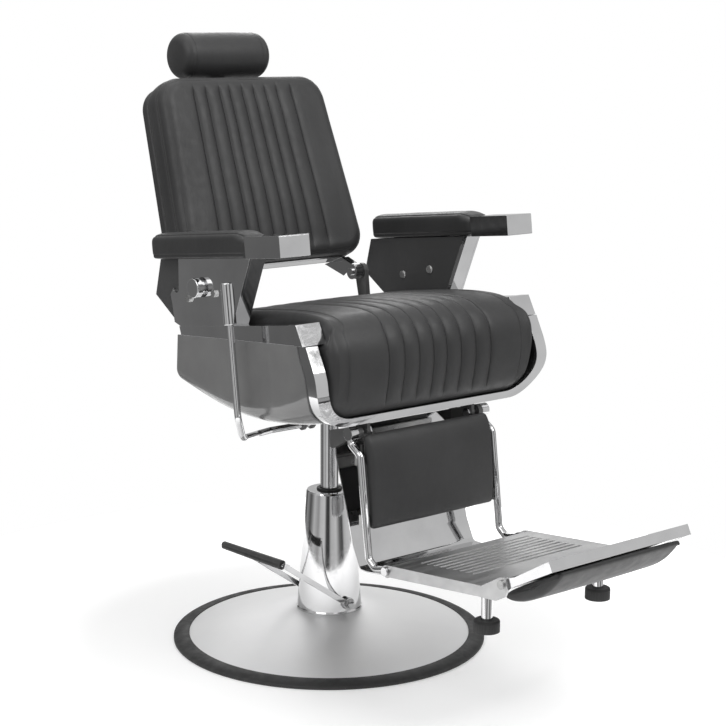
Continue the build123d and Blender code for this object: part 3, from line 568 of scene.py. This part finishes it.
rim = [c for c in range(cols)] + [r * cols + cols - 1 for r in range(1, rows)] + [(rows - 1) * cols + c for c in range(cols - 2, -1, -1)] + [r * cols for r in range(rows - 2, 0, -1)]
rim_x, rim_s, rim_n = X.ravel()[rim], S.ravel()[rim], N.ravel()[rim]
cx, cs = 0.0, H / 2
out2 = np.stack([rim_x - np.clip(rim_x, -(226.5 - R), 226.5 - R), rim_s - np.clip(rim_s, R, H - R)], 1)
out2 /= np.linalg.norm(out2, axis=1)[:, None] + 1e-9
prev = rim
band = [(-28.2, -2.6), (-30.2, -2.9), (-32.4, -0.8), (-36.0, 0.9), (-42.0, 1.5), (-50.0, 1.4), (-57.0, 0.9), (-62.0, 0.2), (-65.0, -1.6), (-65.8, -5.5)]
for depth_n, puff in band:
    ring = b_o + (rim_x + out2[:, 0] * puff)[:, None] * b_x + (rim_s + out2[:, 1] * puff)[:, None] * b_u + depth_n * b_n
    first = len(verts)
    verts += list(ring)
    cur = list(range(first, first + len(rim)))
    for j in range(len(rim)):
        k = (j + 1) % len(rim)
        faces.append((prev[k], prev[j], cur[j], cur[k]))
    prev = cur
centre = b_o + cs * b_u - 65.7 * b_n
last = verts[prev[0]:prev[-1] + 1]
for f in (0.7, 0.35):
    first = len(verts)
    verts += [centre + (p - centre) * f for p in last]
    cur = list(range(first, first + len(rim)))
    for j in range(len(rim)):
        k = (j + 1) % len(rim)
        faces.append((prev[k], prev[j], cur[j], cur[k]))
    prev = cur
verts.append(centre)
for j in range(len(rim)):
    faces.append((prev[(j + 1) % len(rim)], prev[j], len(verts) - 1))
back = add_mesh("back_pad", np.array(verts) * MM, faces, "backrest")
tidy(back)
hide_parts("back_cushion")

theta = []
seam_a, seam_b = [], []
for k in range(720):
    g = k / 720 * 2 * math.pi
    c, s = math.cos(g), math.sin(g)
    big = max(abs(c), abs(s))
    seam_a.append(c / big)
    seam_b.append(s / big)
seam_a, seam_b = np.array(seam_a), np.array(seam_b)


def on_back(a, b, inset, lift):
    x, s, e = back_xy(a, b)
    hw, hh = 226.5, H / 2
    k = 1 - inset / hw, 1 - inset / hh
    x, s, e = back_xy(a * k[0], b * k[1])
    far = np.minimum(e, roll_r)
    n = -(roll_r - np.sqrt(np.maximum(0, roll_r ** 2 - (roll_r - far) ** 2)))
    n = n + (8.0 * (1 - (x / 235.0) ** 2) * (1 - ((s - H / 2) / (H / 2)) ** 4) - 3.0) * smooth(0, 70, e) - 0.6 * np.exp(-(((e - 9.0) / 2.2) ** 2)) + 3.0 * np.exp(-(((s - 120) / 90.0) ** 2)) * (1 - (x / 235.0) ** 2)
    return b_o + x[:, None] * b_x + s[:, None] * b_u + (n + lift)[:, None] * b_n


stitches("back_stitches", [on_back(seam_a, seam_b, 10.5, 0.25)], "backrest")
rim_line = b_o + (rim_x + out2[:, 0] * -1.8)[:, None] * b_x + (rim_s + out2[:, 1] * -1.8)[:, None] * b_u - 29.2 * b_n
tube("back_piping", resample(np.stack([rim_line @ b_x, rim_line @ b_u], 1), 420) @ np.array([b_x, b_u]) + (rim_line[0] @ b_n) * b_n, 1.5, "backrest")


# ------------------------------------------------------------------ head roll
hlo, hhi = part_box("head_roll")
h_o = np.array(((hlo.y + hhi.y) / 2, (hlo.z + hhi.z) / 2)) * 1000
head_r = (hhi.z - hlo.z) / 2 * 1000
head_half = (hhi.x - hlo.x) / 2 * 1000
ring = [(math.cos(k / 40 * 2 * math.pi) * (head_r - 0.8), math.sin(k / 40 * 2 * math.pi) * (head_r - 0.3)) for k in range(40)]


def head_place(x, loop):
    return np.stack([np.full(len(loop), x), loop[:, 0] + h_o[0], loop[:, 1] + h_o[1]], 1)


head, hx, hb, hn, hr = loft("head_pad", "headrest", ring, head_half - 1.0, 24.0, head_place, seams=((22.0, 1.8, 1.8),), count=120, dome=2.6, belly=1.1, waves=0.25)
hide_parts("head_roll")
rows_h = []
for g in (-(head_half - 27.0), head_half - 27.0):
    i = int(np.argmin(np.abs(hx - g)))
    r = hr[i]
    d = np.stack([np.zeros(len(hn)), hn[:, 0], hn[:, 1]], 1)
    rows_h.append(np.vstack([r + d * 0.25, (r + d * 0.25)[:1]]))
stitches("head_stitches", rows_h, "headrest")


# ------------------------------------------------------------------ calf pad and flap pad
calf_loop = [(-291.5, 500), (-311.0, 331), (-325, 329.5), (-333, 341), (-326, 440), (-318.5, 492), (-306.5, 512), (-294.5, 512)]


def calf_swell(x, base):
    w = 1 - (x / 161.0) ** 2
    front = smooth(-0.2, 0.6, -(base[:, 0] - (-291.5 + (base[:, 1] - 500) * 0.115)) / 24.0)
    mid = np.clip(1 - ((base[:, 1] - 420) / 95.0) ** 2, 0, 1)
    return front * mid * 4.0 * w - 0.6


calf, *_ = loft("calf_cover", "leg_rest", calf_loop, 160.0, 9.0, along_x, swell=calf_swell, count=170, dome=0.8, waves=0.25)
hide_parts("calf_pad")

flap_loop = [(-708, 313), (-808, 365.2), (-815.5, 363.5), (-811.5, 352.5), (-780, 317), (-735, 292), (-701, 283), (-679, 285), (-681, 295.5)]


def flap_swell(x, base):
    return np.full(len(base), -0.5 + 1.2 * (1 - (x / 158.0) ** 2))


flap, *_ = loft("flap_cover", "toe_flap", flap_loop, 157.0, 9.0, along_x, swell=flap_swell, count=150, dome=0.8)
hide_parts("flap_pad")


# ------------------------------------------------------------------ arm pads
slope = -0.1113
ang = math.atan(slope)
a_dir = np.array((0.0, math.cos(ang), math.sin(ang)))
a_up = np.array((0.0, -math.sin(ang), math.cos(ang)))
for side, sx in (("r", -1), ("l", 1)):
    blo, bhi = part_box("arm_pad_" + side)
    y0, y1 = blo.y * 1000 + 0.6, bhi.y * 1000 - 0.8
    mid_y = (y0 + y1) / 2
    half_len = (y1 - y0) / 2 / math.cos(ang)
    under = 845.5 + slope * (mid_y + 151)
    origin = np.array((0.0, mid_y, under)) + a_up * 22.0
    c = sx * 290.0
    poly = [(-34.0, -15), (-30, -21.3), (30, -21.3), (34.0, -15), (34.9, 8), (33.5, 21), (23, 28.5), (0, 31.5), (-23, 28.5), (-33.5, 21), (-34.9, 8)]

    def arm_place(t, loop, c=c, origin=origin):
        return origin + (c + loop[:, 0])[:, None] * b_x + t * a_dir + loop[:, 1][:, None] * a_up

    def arm_swell(t, base, h=half_len):
        crease = -1.5 * np.exp(-(((base[:, 1] + 13.0) / 1.7) ** 2)) * smooth(26, 31, np.abs(base[:, 0]))
        ridge = -1.3 * np.exp(-(((np.abs(base[:, 0]) - 27.0) / 1.8) ** 2)) * smooth(12, 18, base[:, 1])
        nose = -8.5 * smooth(h - 42, h - 4, -t) * smooth(8, 24, base[:, 1])
        return crease + ridge + nose

    pad, ax, ab, an, ar = loft("arm_cover_" + side, "seat", poly, half_len, 15.0, arm_place, swell=arm_swell, count=150, dome=1.0, belly=0.0, waves=0.3)
    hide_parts("arm_pad_" + side)
    lines = []
    for target in (-24.6, 24.6):
        top = np.where(ab[:, 1] > 16)[0]
        j = top[int(np.argmin(np.abs(ab[top, 0] - target)))]
        ok = [i for i in range(len(ax)) if abs(ax[i]) < half_len - 12]
        nn = an[j][0] * b_x + an[j][1] * a_up
        lines.append(np.array([ar[i][j] + nn * 0.2 for i in ok]))
    stitches("arm_stitches_" + side, lines, "seat")


# ------------------------------------------------------------------ studio
floor_me = bpy.data.meshes.new("floor")
floor_v, floor_f = [(0, 0, 0)], []
radii = (0.3, 0.5, 0.7, 0.9, 1.1)
for r in radii:
    for k in range(96):
        g = k / 96 * 2 * math.pi
        floor_v.append((r * math.cos(g), r * math.sin(g), -0.0006))
for k in range(96):
    floor_f.append((0, 1 + k, 1 + (k + 1) % 96))
    for i in range(len(radii) - 1):
        a, b = 1 + i * 96, 1 + (i + 1) * 96
        floor_f.append((a + k, b + k, b + (k + 1) % 96, a + (k + 1) % 96))
floor_v[0] = (0, 0, -0.0006)
floor_me.from_pydata(floor_v, [], floor_f)
floor = bpy.data.objects.new("floor", floor_me)
scene.collection.objects.link(floor)
fm, ft, fb = start("studio_floor")
ft.links.new(ramp(ft, noise(ft, coords(ft), 1.5, 2.0), [(0.3, (0.86, 0.86, 0.86)), (0.7, (0.88, 0.88, 0.88))]), fb.inputs["Base Color"])
fb.inputs["Roughness"].default_value = 0.75
# Painted light: the floor glows, weakly at the centre and more towards its rim, so the far floor is lifted to the white
# backdrop where the lamps fall off.
f_co = ft.nodes.new("ShaderNodeTexCoord")
f_len = ft.nodes.new("ShaderNodeVectorMath")
f_len.operation = "LENGTH"
ft.links.new(f_co.outputs["Object"], f_len.inputs[0])
painted_floor_glow = spread(ft, f_len.outputs["Value"], 0.16, 0.80, 0.5, 1.08)
ft.links.new(painted_floor_glow, fb.inputs["Emission Strength"])
fb.inputs["Emission Color"].default_value = (1, 1, 1, 1)
floor_me.materials.append(fm)

world = bpy.data.worlds.new("studio")
scene.world = world
world.use_nodes = True
wt = world.node_tree
wt.nodes.clear()
w_out = wt.nodes.new("ShaderNodeOutputWorld")
w_mix = wt.nodes.new("ShaderNodeMixShader")
w_see = wt.nodes.new("ShaderNodeBackground")
w_lit = wt.nodes.new("ShaderNodeBackground")
w_path = wt.nodes.new("ShaderNodeLightPath")
w_see.inputs["Color"].default_value = (1, 1, 1, 1)
w_see.inputs["Strength"].default_value = 1.0
w_lit.inputs["Strength"].default_value = 0.78
w_co = wt.nodes.new("ShaderNodeTexCoord")
w_sep = wt.nodes.new("ShaderNodeSeparateXYZ")
wt.links.new(w_co.outputs["Generated"], w_sep.inputs["Vector"])
w_az = wt.nodes.new("ShaderNodeMath")
w_az.operation = "ARCTAN2"
wt.links.new(w_sep.outputs["Y"], w_az.inputs[0])
wt.links.new(w_sep.outputs["X"], w_az.inputs[1])
w_fac = wt.nodes.new("ShaderNodeMapRange")
w_fac.inputs["From Min"].default_value = -math.pi
w_fac.inputs["From Max"].default_value = math.pi
wt.links.new(w_az.outputs["Value"], w_fac.inputs["Value"])
w_band = wt.nodes.new("ShaderNodeValToRGB")
e = w_band.color_ramp.elements
stops = [(0.00, 0.50), (0.03, 0.85), (0.08, 0.95), (0.105, 0.10), (0.135, 0.06), (0.16, 0.75), (0.22, 0.92), (0.265, 0.22), (0.30, 0.10), (0.325, 0.72),
         (0.36, 0.90), (0.42, 0.98), (0.455, 0.14), (0.50, 0.07), (0.53, 0.55), (0.58, 0.74), (0.68, 0.76), (0.72, 0.35), (0.76, 0.07), (0.79, 0.45),
         (0.835, 0.30), (0.865, 0.13), (0.895, 0.30), (0.94, 0.80), (1.00, 0.50)]
while len(e) < len(stops):
    e.new(0.5)
for k, (p, v) in zip(e, stops):
    k.position = p
    k.color = (v, v, v, 1)
wt.links.new(w_fac.outputs["Result"], w_band.inputs["Fac"])
w_high = wt.nodes.new("ShaderNodeMapRange")
w_high.interpolation_type = "SMOOTHSTEP"
w_high.inputs["From Min"].default_value = 0.30
w_high.inputs["From Max"].default_value = 0.62
wt.links.new(w_sep.outputs["Z"], w_high.inputs["Value"])
w_blend = wt.nodes.new("ShaderNodeMix")
w_blend.data_type = "RGBA"
wt.links.new(w_high.outputs["Result"], w_blend.inputs["Factor"])
wt.links.new(w_band.outputs["Color"], w_blend.inputs["A"])
w_blend.inputs["B"].default_value = (0.85, 0.85, 0.85, 1)
wt.links.new(w_blend.outputs["Result"], w_lit.inputs["Color"])
wt.links.new(w_path.outputs["Is Camera Ray"], w_mix.inputs["Fac"])
wt.links.new(w_lit.outputs["Background"], w_mix.inputs[1])
wt.links.new(w_see.outputs["Background"], w_mix.inputs[2])
wt.links.new(w_mix.outputs["Shader"], w_out.inputs["Surface"])


def soft_light(name, at, towards, size, power):
    d = bpy.data.lights.new(name, "AREA")
    d.shape = "RECTANGLE"
    d.size, d.size_y = size
    d.energy = power
    o = bpy.data.objects.new(name, d)
    scene.collection.objects.link(o)
    o.location = at
    o.rotation_euler = (Vector(towards) - Vector(at)).to_track_quat("-Z", "Y").to_euler()
    return o


soft_light("key", (-2.6, -0.9, 2.9), (0, 0, 0.7), (2.2, 2.2), 30)
soft_light("fill", (0.9, -2.7, 3.3), (0, -0.1, 0.6), (2.4, 2.4), 58)
soft_light("top", (0.0, 0.4, 3.4), (0, 0, 0.6), (2.4, 2.4), 20)
soft_light("rim", (1.8, 2.6, 2.4), (0, 0, 0.8), (1.6, 1.8), 22)
